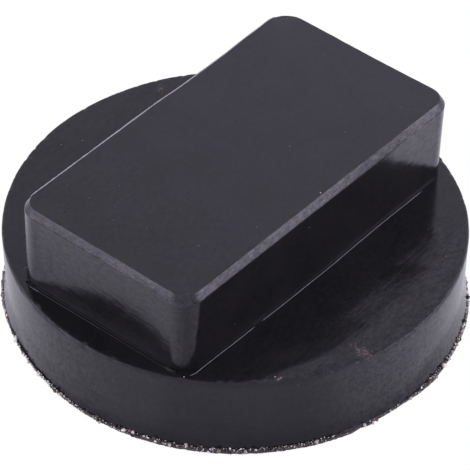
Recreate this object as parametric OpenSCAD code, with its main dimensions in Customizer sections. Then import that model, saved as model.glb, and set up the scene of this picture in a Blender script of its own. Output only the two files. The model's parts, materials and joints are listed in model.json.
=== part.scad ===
// Moulded rubber jack pad: a round disc with a raised rectangular boss on top, in one piece.
// The boss enters the jacking socket of a car's sill, and the disc lies on the saddle of a jack.
// Millimetres. The origin is the centre of the underside, +Z is up and the boss is long along X.

/* [Disc] */
// Diameter of the disc across its top edge
disc_d = 68.4; // [67:0.1:90]
// Height of the disc, from the underside to the shoulder round the boss
disc_h = 13; // [6:0.1:25]
// Slant of the disc's wall, in degrees, narrower at the underside
disc_slant = 1.2; // [0.2:0.1:3]
// Radius of the disc's top edge
disc_edge_r = 0.4; // [0.2:0.1:1.5]

/* [Boss] */
// Length of the boss at its foot
boss_l = 59.4; // [40:0.1:61]
// Width of the boss at its foot
boss_w = 32.3; // [20:0.1:34]
// Height of the boss above the shoulder
boss_h = 14.2; // [6:0.1:25]
// Slant of the boss's walls, in degrees, wider at the top
boss_slant = 0.6; // [0.2:0.1:2]
// Radius of the boss's upright corners, at the foot
boss_corner_r = 3.3; // [2.4:0.1:8]
// Width of the chamfer round the top of the boss, seen from above
chamfer_w = 0.8; // [0.3:0.1:1.5]
// Height of the chamfer round the top of the boss
chamfer_h = 1.2; // [0.3:0.1:3]

/* [Mould joint round the foot] */
// How far the bead of rubber along the mould joint stands out from the wall
bead_w = 0.4; // [0.1:0.05:0.5]
// Height of the bead above the shoulder
bead_h = 0.25; // [0.1:0.05:0.6]

/* [Trimmed flash] */
// Thickness of the thin flash left round the underside
flash_t = 0.35; // [0.2:0.05:1]
// Height of the slope that joins the flash to the wall
flash_slope_h = 0.9; // [0.5:0.05:2]
// Least distance that the trimmed flash stands out from the wall
flash_out = 0.6; // [0.2:0.05:1]
// Deepest bite of the trimming blade into the flash
bite_depth = 0.65; // [0.1:0.05:0.8]
// Number of bites round the disc
bite_count = 120; // [60:10:180]
// Picks another ragged pattern
bite_seed = 12; // [1:1:99]

/* [Hidden] */
$fn = 180;

rubber = [0.13, 0.13, 0.15];
disc_r = disc_d / 2;
// Radius of the disc's slanted wall where it meets the underside
disc_foot_r = disc_r - disc_h * tan(disc_slant);
// How far the boss reaches down into the disc
boss_root = disc_h / 2;
// How far the flash reaches in under the wall, so that the two are one body
flash_root = 2;
// Radius at which the slope runs out into the flash, just inside the deepest bite
flash_slope_r = disc_foot_r + flash_out - 0.1;

// Radius of the disc's slanted wall at height z.
function disc_wall_r(z) = disc_foot_r + z * tan(disc_slant);

// Height of the chamfer's foot above the shoulder, and how far the slanted wall has gone out there.
chamfer_z = boss_h - chamfer_h;
function boss_outset(z) = z * tan(boss_slant);

// Outer edge of the boss from its root to its top, for a wall whose foot lies this far from the axis.
function boss_edge(reach) = [
    [reach + bead_w, -boss_root],
    [reach + bead_w, 0],
    [reach + boss_outset(bead_h), bead_h],
    [reach + boss_outset(chamfer_z), chamfer_z],
    [reach + boss_outset(chamfer_z) - chamfer_w, boss_h]
];

// The same points on the other side of the axis, in the opposite order.
function mirrored(points) = [for (i = [len(points) - 1 : -1 : 0]) [-points[i].x, points[i].y]];

// Corner of the trimmed flash: each bite is a short straight cut, so tips and roots take turns.
tips = rands(0.55, 1, bite_count, bite_seed);
roots = rands(0, 0.55, bite_count, bite_seed + 1);
function flash_r(i) = disc_foot_r + flash_out + bite_depth * (i % 2 == 0 ? tips[i / 2] : roots[(i - 1) / 2]);
function flash_point(i) = flash_r(i) * [cos(180 * i / bite_count), sin(180 * i / bite_count)];

// Half of the disc's section: slanted wall and rounded top edge.
module disc_section() {
    edge_c = [disc_wall_r(disc_h - disc_edge_r) - disc_edge_r / cos(disc_slant), disc_h - disc_edge_r];
    edge_tangent = edge_c + disc_edge_r * [cos(disc_slant), -sin(disc_slant)];
    polygon([[0, 0], [disc_foot_r, 0], edge_tangent, [edge_c.x, disc_h], [0, disc_h]]);
    intersection() {
        translate(edge_c) circle(disc_edge_r);
        translate(edge_c) for (turn = [0, -disc_slant]) rotate(turn) square(disc_edge_r);
    }
}

module disc() {
    rotate_extrude() disc_section();
}

// Flash squeezed out under the disc's wall and trimmed by hand to a ragged outline, with the slope that
// joins it to the wall.
module flash() {
    linear_extrude(flash_t) difference() {
        polygon([for (i = [0 : 2 * bite_count - 1]) flash_point(i)]);
        circle(disc_foot_r - flash_root);
    }
    rotate_extrude() polygon([
        [disc_foot_r - flash_root, flash_t / 2],
        [flash_slope_r, flash_t / 2],
        [flash_slope_r, flash_t],
        [disc_wall_r(flash_slope_h), flash_slope_h],
        [disc_foot_r - flash_root, flash_slope_h]
    ]);
}

// Full section of the boss across one pair of walls, run along the straight part of the other pair.
module boss_run(across, along) {
    points = boss_edge(across / 2);
    rotate([90, 0, 90]) linear_extrude(along - 2 * boss_corner_r, center = true)
        polygon(concat(points, mirrored(points)));
}

// One quarter turn of the boss's edge, which rounds the corner between +X and +Y.
module boss_corner() {
    rotate_extrude(angle = 90) polygon(concat([[0, -boss_root]], boss_edge(boss_corner_r), [[0, boss_h]]));
}

module boss() {
    corner_x = boss_l / 2 - boss_corner_r;
    corner_y = boss_w / 2 - boss_corner_r;
    translate([0, 0, disc_h]) {
        boss_run(boss_w, boss_l);
        rotate(90) boss_run(boss_l, boss_w);
        for (corner = [[1, 1, 0], [-1, 1, 90], [-1, -1, 180], [1, -1, 270]])
            translate([corner.x * corner_x, corner.y * corner_y, 0]) rotate(corner.z) boss_corner();
    }
}

module jack_pad() {
    color(rubber) union() {
        disc();
        flash();
        boss();
    }
}

jack_pad();
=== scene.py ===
"""Moulded rubber jack pad, laid out as an add-on and run as a script.

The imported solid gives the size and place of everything. The pieces here stand over it: the moulded
body, the bead along the mould joint, the hand-trimmed flash and what clings to the rubber.
Lengths in the code are in metres, and MM turns a length written in millimetres into metres.
"""
import json
import math

import bpy
import numpy as np
from mathutils import Matrix, Vector, noise


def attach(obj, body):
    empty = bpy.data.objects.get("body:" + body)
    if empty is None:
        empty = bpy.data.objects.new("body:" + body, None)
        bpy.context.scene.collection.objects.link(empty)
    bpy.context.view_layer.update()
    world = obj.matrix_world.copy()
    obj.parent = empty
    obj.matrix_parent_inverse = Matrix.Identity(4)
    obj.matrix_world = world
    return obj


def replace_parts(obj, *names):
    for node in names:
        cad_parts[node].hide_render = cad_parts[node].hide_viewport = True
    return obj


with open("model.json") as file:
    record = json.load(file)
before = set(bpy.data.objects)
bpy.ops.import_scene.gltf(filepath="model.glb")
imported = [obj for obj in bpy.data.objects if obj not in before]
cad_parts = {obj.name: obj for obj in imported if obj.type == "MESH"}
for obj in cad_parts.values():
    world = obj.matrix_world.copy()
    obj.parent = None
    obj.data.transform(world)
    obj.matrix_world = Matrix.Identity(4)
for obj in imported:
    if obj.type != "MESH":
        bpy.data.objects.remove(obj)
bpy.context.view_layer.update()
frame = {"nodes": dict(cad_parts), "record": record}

bl_info = {
    "name": "Rubber jack pad",
    "version": (1, 0, 0),
    "blender": (4, 5, 0),
    "location": "3D View > Sidebar > Jack pad",
    "description": "Builds a moulded rubber jack pad with its mould joint, trimmed flash and finish",
    "category": "Add Mesh",
}

MM = 0.001
# Heights that differ by less than this count as one
NEAR = 0.001 * MM
NODE = "jack_pad"


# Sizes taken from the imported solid

def mount_height(name):
    return next(m["pos_m"][2] for m in frame["record"]["mounts"] if m["name"] == name)


def solid_points():
    return np.array([v.co for v in frame["nodes"][NODE].data.vertices])


SOLID = solid_points()
SHOULDER_Z = mount_height("shoulder_face")
TOP_Z = mount_height("boss_top_face")


def points_between(low, high):
    return SOLID[(SOLID[:, 2] > low) & (SOLID[:, 2] < high)]


def disc_radius(low, high):
    """Radius of the disc's wall between two heights."""
    wall = points_between(low, high)
    return float(np.hypot(wall[:, 0], wall[:, 1]).max())


def boss_half_sizes(low, high):
    """Half length and half width of the boss between two heights."""
    wall = points_between(low, high)
    return float(wall[:, 0].max()), float(wall[:, 1].max())


DISC_R = disc_radius(SHOULDER_Z - 0.6 * MM, SHOULDER_Z - 0.2 * MM)
FOOT_R = disc_radius(0.6 * MM, 1.2 * MM)
BOSS_X, BOSS_Y = boss_half_sizes(SHOULDER_Z + 0.1 * MM, SHOULDER_Z + MM)
BOSS_FLARE = boss_half_sizes(SHOULDER_Z + MM, TOP_Z)[0] - BOSS_X


# What the photograph shows at single places, in millimetres and degrees. Angles go round from +X to +Y.

# Corner of the boss (which way along X and Y), how far it strays at its foot, and at its top
CORNERS = (
    (1, -1, (-0.08, 0.09), (0.1, -0.12)),
    (1, 1, (0, 0), (-0.18, 0)),
    (-1, 1, (0, 0), (0, -0.1)),
    (-1, -1, (0, 0), (0, 0)))
# Place, reach along each axis, and how far the rubber strays there
STRAYS = (
    ((9.5, 16.2, 27.2), (9, 3, 2.5), (0, -0.26, 0)),
    ((30.0, -16.4, 26.8), (1.8, 1.8, 1.8), (0.09, -0.11, 0)),
    ((20.0, 16.2, 27.2), (7.0, 3.0, 2.5), (0, -0.12, 0)),
    ((29.0, 15.6, 27.2), (3.0, 3.0, 2.0), (-0.18, -0.18, -0.2)),
    ((29.8, -2.0, 27.2), (2.0, 9.0, 3.0), (-0.1, 0, 0)),
    ((-29.3, -11.0, 27.2), (1.3, 6.0, 1.0), (-0.06, 0, 0)),
    ((25.0, -34.0, 13.0), (14.0, 14.0, 2.0), (0, 0, -0.2)))
# Angle, and how far the disc's top edge strays from round
ROUNDNESS = (
    (-180, 0.0), (-125, 0.0), (-95, -0.13), (-65, -0.08), (-45, 0.03), (-38, -0.03), (-28, -0.15),
    (-15, 0.0), (30, 0.15), (54, 0.36), (70, 0.22), (89, 0.22), (102, 0.12), (115, 0.17), (122, 0.16),
    (135, 0.16), (160, 0.05), (180, 0.0))
# Angle, how far the wall flares out over the flash, and how high the flare begins
FLARE = (
    (-180, 0.42, 2.4), (-112, 0.42, 2.4), (-90, 0.45, 3), (-78, 0.55, 7), (-58, 0.65, 7),
    (-48, 0.45, 7), (-30, 0.3, 3), (105, 0.3, 3), (125, 0.5, 6), (138, 0.5, 6), (148, 0.25, 5),
    (155, 0.12, 2), (168, 0.12, 2), (176, 0.3, 1.9), (180, 0.42, 2.4))
# Angle, and how far the trimmed flash stands out from the wall there
OUTLINE = (
    (-180, 0.8), (-170, 1.0), (-162, 1.14), (-150, 1.2), (-133, 1.22), (-111, 1.1), (-108.5, 0.72),
    (-107, 0.95), (-105.5, 0.95), (-104, 0.66), (-95, 0.62), (-90, 0.95), (-84, 1.2), (-79, 0.95),
    (-70, 0.95), (-63, 1.15), (-55, 0.95), (-50, 0.75), (-45, 0.6), (-20, 0.75), (10, 0.9), (40, 0.7),
    (80, 0.85), (115, 0.7), (132, 0.9), (144, 0.62), (150, 0.5), (158, 0.46), (166, 0.45), (174, 0.65),
    (180, 0.8))
# Angle, and how torn the edge is
TORN = (
    (-180, 0.6), (-170, 0.9), (-116, 0.9), (-112, 0.35), (-100, 0.2), (-90, 0.35), (-75, 0.7), (-50, 0.9),
    (0, 0.5), (90, 0.5), (128, 0.9), (150, 0.8), (180, 0.6))
# Angle, and how many crumbs cling to the edge
CRUMBLED = (
    (-180, 0.8), (-171, 0.75), (-132, 0.7), (-117, 0.6), (-113, 0.1), (-104, 0.05), (-100, 0.3), (-90, 0.5),
    (-78, 0.7), (-56, 0.8), (-50, 0.4), (-30, 0.3), (90, 0.2), (120, 0.15), (146, 0.15), (153, 0.8),
    (172, 1.0), (180, 0.8))
# Angle, and how pale the flash and its crumbs are
PALE = (
    (-180, 0.25), (-110, 0.2), (-88, 0.25), (-75, 0.6), (-60, 0.65), (-53, 0.9), (-40, 1.0), (-30, 0.5),
    (100, 0.5), (120, 0.95), (148, 0.95), (155, 1.0), (170, 1.0), (177, 0.3), (180, 0.25))
# Place, reach along each axis, colour and strength of the stains
STAINS = (
    ((-9.2, -31.3, 12.9), (1.5, 2.7, 1.0), (0.3, 0.19, 0.18, 1), 0.33),
    ((1.7, -33.8, 6.0), (1.8, 1.2, 1.6), (0.16, 0.06, 0.07, 1), 0.2),
    ((15.6, 28.3, 13.0), (1.2, 1.2, 1.0), (0.14, 0.09, 0.07, 1), 0.6),
    ((-21.1, -26.0, 12.9), (0.8, 0.3, 0.5), (0.5, 0.33, 0.3, 1), 0.6),
    ((-27.0, -8.0, 26.6), (4.0, 5.0, 0.5), (0.3, 0.2, 0.22, 1), 0.15))
# Specks that lie still in the photograph, on the disc, on the boss's top and on its end wall
SPECKS = (
    (-29.66, -15.6, 13.0), (-21.27, -25.24, 13.0), (-16.46, -28.93, 13.0), (-6.36, 31.29, 13.0),
    (-4.07, 30.75, 13.0), (-1.32, 28.99, 13.0), (-12.72, 30.31, 13.0), (-11.15, -12.93, 27.2),
    (-16.31, -15.27, 27.2), (-14.99, -14.89, 27.2), (0.37, -15.14, 27.2), (24.39, 3.85, 27.2),
    (26.92, -1.16, 27.2), (-26.34, 9.62, 27.2), (-29.85, 10.6, 19.66))


# Settings that a user would change

def length(name, description, default):
    return bpy.props.FloatProperty(name=name, description=description, default=default, unit="LENGTH")


def number(name, description, default):
    return bpy.props.FloatProperty(name=name, description=description, default=default)


def whole(name, description, default):
    return bpy.props.IntProperty(name=name, description=description, default=default)


def angle(name, description, degrees):
    return bpy.props.FloatProperty(
        name=name, description=description, default=math.radians(degrees), subtype="ANGLE")


def colour(name, description, *default):
    return bpy.props.FloatVectorProperty(
        name=name, description=description, default=(*default, 1.0), size=4, min=0.0, max=1.0,
        subtype="COLOR")


class JackPadBodySettings(bpy.types.PropertyGroup):
    disc_radius: length("Disc radius", "Radius of the disc across its top edge", DISC_R)
    foot_radius: length("Foot radius", "Radius of the disc's wall above the flash", FOOT_R)
    waist: length("Waist", "How far the disc's wall draws in at a third of its height", 0.08 * MM)
    flare: number("Flare", "Multiplies how far the disc's wall flares out over the flash", 1.0)
    disc_edge: length("Disc edge", "Rounding of the disc's top edge", 0.5 * MM)
    dish: length("Dish", "How far the front of the shoulder sinks inside the disc's rim", 0.36 * MM)
    end_sink: length("End wall sink", "Draws in the end walls, by two thirds of it at most", 0.65 * MM)
    side_sink: length("Side wall sink", "Draws in the long walls, by two thirds of it at most", 0.25 * MM)
    boss_flare: length("Boss flare", "How far the boss's walls lean out at the top", BOSS_FLARE)
    corner_radius: length("Corner radius", "Radius of the boss's upright corners", 3.3 * MM)
    chamfer_width: length("Chamfer width", "Width of the chamfer seen from above", 0.8 * MM)
    chamfer_height: length("Chamfer height", "Height of the chamfer", 1.2 * MM)
    columns: whole("Columns", "Points round each ring of the body", 820)
    swell: length("Swell", "Height of the broad unevenness left by moulding", 0.03 * MM)
    swell_size: length("Swell size", "Breadth of the broad unevenness", 9 * MM)
    ripple: length("Ripple", "Height of the smaller unevenness", 0.012 * MM)
    ripple_size: length("Ripple size", "Breadth of the smaller unevenness", 3 * MM)
    nicks: length("Nicks", "Depth of the small nicks in the disc's top edge", 0.16 * MM)
    chamfer_wear: length("Chamfer wear", "Depth of the dents in the boss's chamfer", 0.02 * MM)
    rubber: colour("Rubber", "Colour of the moulded rubber", 0.007, 0.0066, 0.0074)
    bloom: colour("Bloom", "Colour of the dull bloom on the rubber", 0.06, 0.055, 0.062)


class JackPadFlashSettings(bpy.types.PropertyGroup):
    wall_radius: length("Wall radius", "Radius of the wall that the flash stands out from", FOOT_R)
    reach: number("Reach", "Multiplies how far the trimmed flash stands out", 1.0)
    steps: whole("Steps", "Points round the flash", 1800)
    cuts: length("Cuts", "Depth of the scallops that the trimming blade left", 0.16 * MM)
    cut_length: length("Cut length", "Length of one scallop", 1.1 * MM)
    tear: length("Tear", "Depth of the fine torn edge", 0.09 * MM)
    seed: whole("Seed", "Picks another ragged pattern", 3)
    rubber: colour("Rubber", "Colour of the torn rubber", 0.009, 0.0085, 0.009)
    dust: colour("Dust", "Colour of the dust on the flash", 0.5, 0.42, 0.43)


class JackPadCrumbSettings(bpy.types.PropertyGroup):
    lump_density: number("Lump density", "Lumps on each square millimetre of the torn edge", 2.6)
    lump_size: length("Lump size", "Radius of a large lump on the flash", 0.33 * MM)
    grit_density: number("Grit density", "Grains on each square millimetre of the torn edge", 20.0)
    grit_size: length("Grit size", "Radius of a large grain on the flash", 0.11 * MM)
    dust_density: number("Dust density", "Specks of dust on each square millimetre of the pad", 0.02)
    dust_size: length("Dust size", "Radius of a large speck of dust", 0.06 * MM)
    seed: whole("Seed", "Picks other places for the crumbs and the dust", 5)
    rubber: colour("Rubber", "Colour of the darkest crumbs", 0.012, 0.011, 0.012)
    brown: colour("Brown", "Colour of the brown crumbs", 0.14, 0.09, 0.07)
    cream: colour("Cream", "Colour of the cream crumbs", 0.6, 0.5, 0.46)
    white: colour("White", "Colour of the palest crumbs", 0.95, 0.9, 0.88)
    dark_dust: colour("Dark dust", "Colour of the darkest dust on the body", 0.05, 0.047, 0.053)
    light_dust: colour("Light dust", "Colour of the lightest dust on the body", 0.4, 0.37, 0.4)


class JackPadLineSettings(bpy.types.PropertyGroup):
    joint_thickness: length("Joint thickness", "Radius of the bead along the mould joint", 0.075 * MM)
    joint_end: length("Joint at the ends", "From the foot of the boss's end walls to the bead", 0.4 * MM)
    joint_side: length("Joint at the sides", "From the foot of the boss's long walls to the bead", 0.22 * MM)
    joint_corner: length("Joint corner", "Radius of the bead's corners", 2.4 * MM)
    burr_thickness: length("Burr thickness", "Radius of the burr along the boss's top edge", 0.09 * MM)
    ridge_thickness: length("Ridge thickness", "Radius of the ridge along the untorn flash", 0.08 * MM)
    wander: length("Wander", "How far the lines stray from their path", 0.05 * MM)
    rubber: colour("Rubber", "Colour of the lines where they are clean", 0.01, 0.0095, 0.01)
    # The pale colour that the lines' tone mixes in paints the highlight along them
    dust: colour("Dust", "Colour of the lines where they are rubbed pale", 0.5, 0.48, 0.52)


class JackPadStageSettings(bpy.types.PropertyGroup):
    lens: number("Lens", "Focal length on a 36 mm sensor, in millimetres", 301.6)
    distance: length("Distance", "From the camera to the point that it looks at", 594.4 * MM)
    azimuth: angle("Azimuth", "Turn of the camera round the pad", -50.24)
    elevation: angle("Elevation", "Height of the camera above the horizon", 42.19)
    roll: angle("Roll", "Turn of the camera about its own axis", 0.9)
    aim_side: length("Aim to the side", "The point looked at, to the right of the pad's centre", -0.13 * MM)
    aim_back: length("Aim to the back", "The point looked at, behind the pad's centre", 11.4 * MM)
    world: number("Surroundings", "Brightness of the surroundings", 0.81)
    side_lamps: number("Side lamps", "Power of each side lamp, in watts", 0.78)
    light: colour("Light", "Colour of the lamps and of the surroundings", 0.9, 0.88, 1)


# Node trees

FLOAT, VECTOR, GEOMETRY = "NodeSocketFloat", "NodeSocketVector", "NodeSocketGeometry"
SOCKETS = {float: FLOAT, int: "NodeSocketInt", bool: "NodeSocketBool"}


def shown_socket(sockets, name):
    """A node's socket by its place, or by its name among those in use."""
    if isinstance(name, int):
        return sockets[name]
    return next(s for s in sockets if s.enabled and s.name == name)


def add_node(tree, kind, inputs=None, **settings):
    """A node with its settings, and its inputs set to values or linked to sockets."""
    node = tree.nodes.new(kind)
    node.location = (180 * len(tree.nodes), -40 * (len(tree.nodes) % 5))
    for name, value in settings.items():
        setattr(node, name, value)
    for name, value in (inputs or {}).items():
        socket = shown_socket(node.inputs, name)
        if isinstance(value, bpy.types.NodeSocket):
            tree.links.new(value, socket)
        else:
            socket.default_value = value
    return node


def made(tree, kind, inputs=None, **settings):
    """The first output in use of a new node."""
    node = add_node(tree, kind, inputs, **settings)
    return next(s for s in node.outputs if s.enabled)


def calc(tree, operation, *values, clamp=False):
    """The result of one Math node."""
    return made(tree, "ShaderNodeMath", dict(enumerate(values)), operation=operation, use_clamp=clamp)


def product(tree, *values):
    """All the values multiplied."""
    result = values[0]
    for value in values[1:]:
        result = calc(tree, "MULTIPLY", result, value)
    return result


def vector_calc(tree, operation, *values):
    """The result of one Vector Math node."""
    return made(tree, "ShaderNodeVectorMath", dict(enumerate(values)), operation=operation)


def scaled(tree, value, factor):
    """The vector made longer or shorter."""
    return made(tree, "ShaderNodeVectorMath", {0: value, "Scale": factor}, operation="SCALE")


def vector(tree, x=0.0, y=0.0, z=0.0):
    """A vector from three numbers or sockets."""
    return made(tree, "ShaderNodeCombineXYZ", {"X": x, "Y": y, "Z": z})


def parts(tree, value):
    """The three numbers of a vector."""
    return add_node(tree, "ShaderNodeSeparateXYZ", {"Vector": value}).outputs


def clouds(tree, place, size, detail, roughness=0.5):
    """Noise with features of this size, which is a length or a socket that gives one."""
    scale = calc(tree, "DIVIDE", 1.0, size) if isinstance(size, bpy.types.NodeSocket) else 1 / size
    return made(tree, "ShaderNodeTexNoise", {
        "Vector": place, "Scale": scale, "Detail": detail, "Roughness": roughness})


def ranged(tree, value, low, high, to_low=0.0, to_high=1.0):
    """The value brought from one range to another, smoothly and held at both ends."""
    return made(tree, "ShaderNodeMapRange", {
        "Value": value, "From Min": low, "From Max": high, "To Min": to_low, "To Max": to_high},
        interpolation_type="SMOOTHSTEP")


def by_curve(tree, value, points):
    """The value looked up on a curve through points (x, y) whose y lie between 0 and 1."""
    node = add_node(tree, "ShaderNodeFloatCurve", {"Value": value})
    curve = node.mapping.curves[0]
    for (x, y), point in zip(points[:2], curve.points):
        point.location = (x, y)
    for x, y in points[2:]:
        curve.points.new(x, y)
    for point in curve.points:
        point.handle_type = "VECTOR"
    node.mapping.update()
    return node.outputs[0]


def new_tree(name, kind, inputs, output):
    """A node tree with named inputs, each with its default or its socket's type, and one output (name,
    socket type)."""
    tree = bpy.data.node_groups.new(name, kind)
    for title, given in inputs.items():
        bare = isinstance(given, str)
        item = tree.interface.new_socket(
            title, in_out="INPUT", socket_type=given if bare else SOCKETS[type(given)])
        if not bare:
            item.default_value = given
    tree.interface.new_socket(output[0], in_out="OUTPUT", socket_type=output[1])
    return tree, tree.nodes.new("NodeGroupInput").outputs


def close_tree(tree, result):
    """Links the result to the tree's output."""
    tree.links.new(result, tree.nodes.new("NodeGroupOutput").inputs[0])
    return tree


def stored(tree, geometry, name, value, domain="POINT"):
    """The geometry with a value kept on it by name."""
    return made(tree, "GeometryNodeStoreNamedAttribute", {
        "Geometry": geometry, "Name": name, "Value": value}, data_type="FLOAT", domain=domain)


def kept(tree, name):
    """A value kept on the geometry by name."""
    return made(tree, "GeometryNodeInputNamedAttribute", {"Name": name}, data_type="FLOAT")


def finished(tree, geometry, material):
    """Ends a geometry tree: smooth faces, plain geometry and its material."""
    smooth = made(tree, "GeometryNodeSetShadeSmooth", {"Geometry": geometry})
    real = made(tree, "GeometryNodeRealizeInstances", {"Geometry": smooth})
    return close_tree(tree, made(tree, "GeometryNodeSetMaterial", {"Geometry": real, "Material": material}))


def grown(name, base, tree, values):
    """The plain mesh that a Geometry Nodes tree makes of a base mesh."""
    carrier = bpy.data.objects.new(name, base)
    bpy.context.scene.collection.objects.link(carrier)
    modifier = carrier.modifiers.new("Nodes", "NODES")
    modifier.node_group = tree
    named = {i.name: i.identifier for i in tree.interface.items_tree if i.in_out == "INPUT"}
    for title, value in values.items():
        modifier[named[title]] = value
    carrier.update_tag()
    evaluated = carrier.evaluated_get(bpy.context.evaluated_depsgraph_get())
    mesh = bpy.data.meshes.new_from_object(evaluated)
    mesh.name = name
    bpy.data.objects.remove(carrier)
    return mesh


# Moulded body

def unit(v):
    return v / np.linalg.norm(v)


def rounded_path(points, steps=5):
    """Path through 2D points (x, y, radius), each inner corner rounded with a short curve."""
    path = [np.array(points[0][:2])]
    for a, b, c in zip(points, points[1:], points[2:]):
        radius = b[2]
        a, b, c = (np.array(p[:2]) for p in (a, b, c))
        if not radius:
            path.append(b)
            continue
        came, goes = unit(b - a), unit(c - b)
        reach = radius * math.tan(math.acos(float(np.clip(came @ goes, -1, 1))) / 2)
        for t in np.linspace(0, 1, steps + 1):
            start, end = b - came * reach, b + goes * reach
            path.append((1 - t) ** 2 * start + 2 * t * (1 - t) * b + t ** 2 * end)
    path.append(np.array(points[-1][:2]))
    return path


def subdivided(path, longest):
    """The same path with no step longer than this."""
    fine = [path[0]]
    for a, b in zip(path, path[1:]):
        count = max(1, math.ceil(np.linalg.norm(b - a) / longest))
        fine += [a + (b - a) * k / count for k in range(1, count + 1)]
    return fine


def boss_columns(half_x, half_y, radius, count):
    """Even steps round a rectangle with round corners: where each lies on the rectangle that joins
    the corners' centres, which way its wall faces, and which share of the way round it is."""
    sx, sy = half_x - radius, half_y - radius
    arc = radius * math.pi / 2
    runs = [2 * sy, arc, 2 * sx, arc, 2 * sy, arc, 2 * sx, arc]
    starts = np.concatenate([[0], np.cumsum(runs)])
    corner = [(sx, sy), (-sx, sy), (-sx, -sy), (sx, -sy)]
    base, face = [], []
    distances = (np.arange(count) + 0.5) * starts[-1] / count
    for distance in distances:
        run = int(np.searchsorted(starts, distance, side="right")) - 1
        along = (distance - starts[run]) / runs[run]
        quarter = run // 2
        if run % 2:
            turn = (quarter + along) * math.pi / 2
            base.append(corner[quarter])
        else:
            turn = quarter * math.pi / 2
            before, after = np.array(corner[quarter - 1]), np.array(corner[quarter])
            base.append(before + (after - before) * along)
        face.append((math.cos(turn), math.sin(turn)))
    return np.array(base), np.array(face), (distances - sy) / starts[-1]


def body_rings(s):
    """Rings of points from the middle of the boss's top, over its wall, the shoulder and the disc's
    wall, to the middle of the underside. Each carries how much it belongs to the boss's chamfer, to the
    disc's top edge and to the boss's foot."""
    base, face, share_round = boss_columns(BOSS_X, BOSS_Y, s.corner_radius, s.columns)
    ray = np.column_stack([np.cos(share_round * 2 * math.pi), np.sin(share_round * 2 * math.pi)])
    rings = []

    def add(xy, z, chamfer=0.0, rim=0.0, foot=0.0):
        rings.append((np.column_stack([xy, np.full(len(xy), z)]), chamfer, rim, foot))

    chamfer_z = TOP_Z - s.chamfer_height
    chamfer_s = s.corner_radius + s.boss_flare
    top_s = chamfer_s - s.chamfer_width
    shoulder_s = s.corner_radius + 0.4 * MM
    underside_r = s.foot_radius - 1.6 * MM
    boss_edge = rounded_path([
        (top_s - 0.5 * MM, TOP_Z, 0),
        (top_s, TOP_Z, 0.2 * MM),
        (chamfer_s, chamfer_z, 0.3 * MM),
        (s.corner_radius, SHOULDER_Z, 0),
        (shoulder_s, SHOULDER_Z, 0),
    ])
    inner = base + face * boss_edge[0][0]
    for share in np.linspace(0, 1, 16)[1:-1]:
        add(inner * share, TOP_Z)
    for offset, z in subdivided(boss_edge, 0.45 * MM):
        on_chamfer = 1.0 if chamfer_z - 0.2 * MM < z < TOP_Z - NEAR else 0.0
        at_foot = 1.0 if abs(offset - s.corner_radius) + abs(z - SHOULDER_Z) < 1e-7 else 0.0
        add(base + face * offset, z, chamfer=on_chamfer, foot=at_foot)
    start = base + face * shoulder_s
    lean = (s.disc_radius - s.foot_radius) / SHOULDER_Z
    low_wall = [(s.foot_radius + lean * z * MM, z * MM, 0) for z in (1.9, 1.6, 1.3, 1.0, 0.75, 0.55, 0.4)]
    disc_edge = rounded_path([
        (s.disc_radius - s.disc_edge * 2, SHOULDER_Z, 0),
        (s.disc_radius, SHOULDER_Z, s.disc_edge),
        ((s.disc_radius + 2 * s.foot_radius) / 3 - s.waist, SHOULDER_Z * 0.36, 5 * MM),
        *low_wall,
        (s.foot_radius, 0.3 * MM, 0),
        (s.foot_radius - 0.4 * MM, 0.12 * MM, 0),
        (s.foot_radius - 1.4 * MM, 0.05 * MM, 0),
        (underside_r, 0, 0),
    ])
    end = ray * disc_edge[0][0]
    for share in np.linspace(0, 1, 18)[1:-1]:
        add(start + (end - start) * share, SHOULDER_Z)
    for radius, z in subdivided(disc_edge, 0.55 * MM):
        on_rim = 1.0 if SHOULDER_Z - 0.4 * MM < z < SHOULDER_Z - NEAR else 0.0
        add(ray * radius, z, rim=on_rim)
    for share in np.linspace(1, 0, 5)[1:-1]:
        add(ray * underside_r * share, 0)
    return rings


def mesh_from_rings(name, rings):
    """Closed mesh over rings of equal length, with a point in the middle of the first and the last."""
    count = len(rings[0][0])
    points = np.vstack([ring[0] for ring in rings])
    middles = [(0, 0, rings[0][0][0, 2]), (0, 0, rings[-1][0][0, 2])]
    first, last = len(points), len(points) + 1
    k = np.arange(count)
    following = (k + 1) % count
    faces = [(first, a, b) for a, b in zip(k.tolist(), following.tolist())]
    for i in range(len(rings) - 1):
        near, far = i * count, (i + 1) * count
        faces += np.column_stack([near + k, far + k, far + following, near + following]).tolist()
    tail = (len(rings) - 1) * count
    faces += [(last, tail + b, tail + a) for a, b in zip(k.tolist(), following.tolist())]
    mesh = bpy.data.meshes.new(name)
    mesh.from_pydata(np.vstack([points, middles]).tolist(), [], faces)
    mesh.update()
    for place, title in ((1, "chamfer"), (2, "rim"), (3, "foot")):
        values = np.concatenate([np.repeat([ring[place] for ring in rings], count), [0, 0]])
        set_attribute(mesh, title, values)
    mesh.shade_smooth()
    at_foot = get_attribute(mesh, "foot") > 0
    ends = np.empty(2 * len(mesh.edges), dtype=np.int32)
    mesh.edges.foreach_get("vertices", ends)
    sharp = mesh.attributes.new("sharp_edge", "BOOLEAN", "EDGE")
    sharp.data.foreach_set("value", at_foot[ends].reshape(-1, 2).all(axis=1))
    return mesh


def set_attribute(mesh, name, values):
    attribute = mesh.attributes.get(name) or mesh.attributes.new(name, "FLOAT", "POINT")
    attribute.data.foreach_set("value", np.asarray(values, dtype=np.float32))


def get_attribute(mesh, name):
    values = np.empty(len(mesh.vertices), dtype=np.float32)
    mesh.attributes[name].data.foreach_get("value", values)
    return values


def bump_shape(value):
    """Falls smoothly from 1 at 0 to nothing beyond 1."""
    return np.exp(-(np.abs(value) * 1.15) ** 4)


def rise(value, low, high):
    """Goes evenly from 0 at low to 1 at high and is held beyond both, which may be in either order."""
    return np.clip((value - low) / (high - low), 0, 1)


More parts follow.
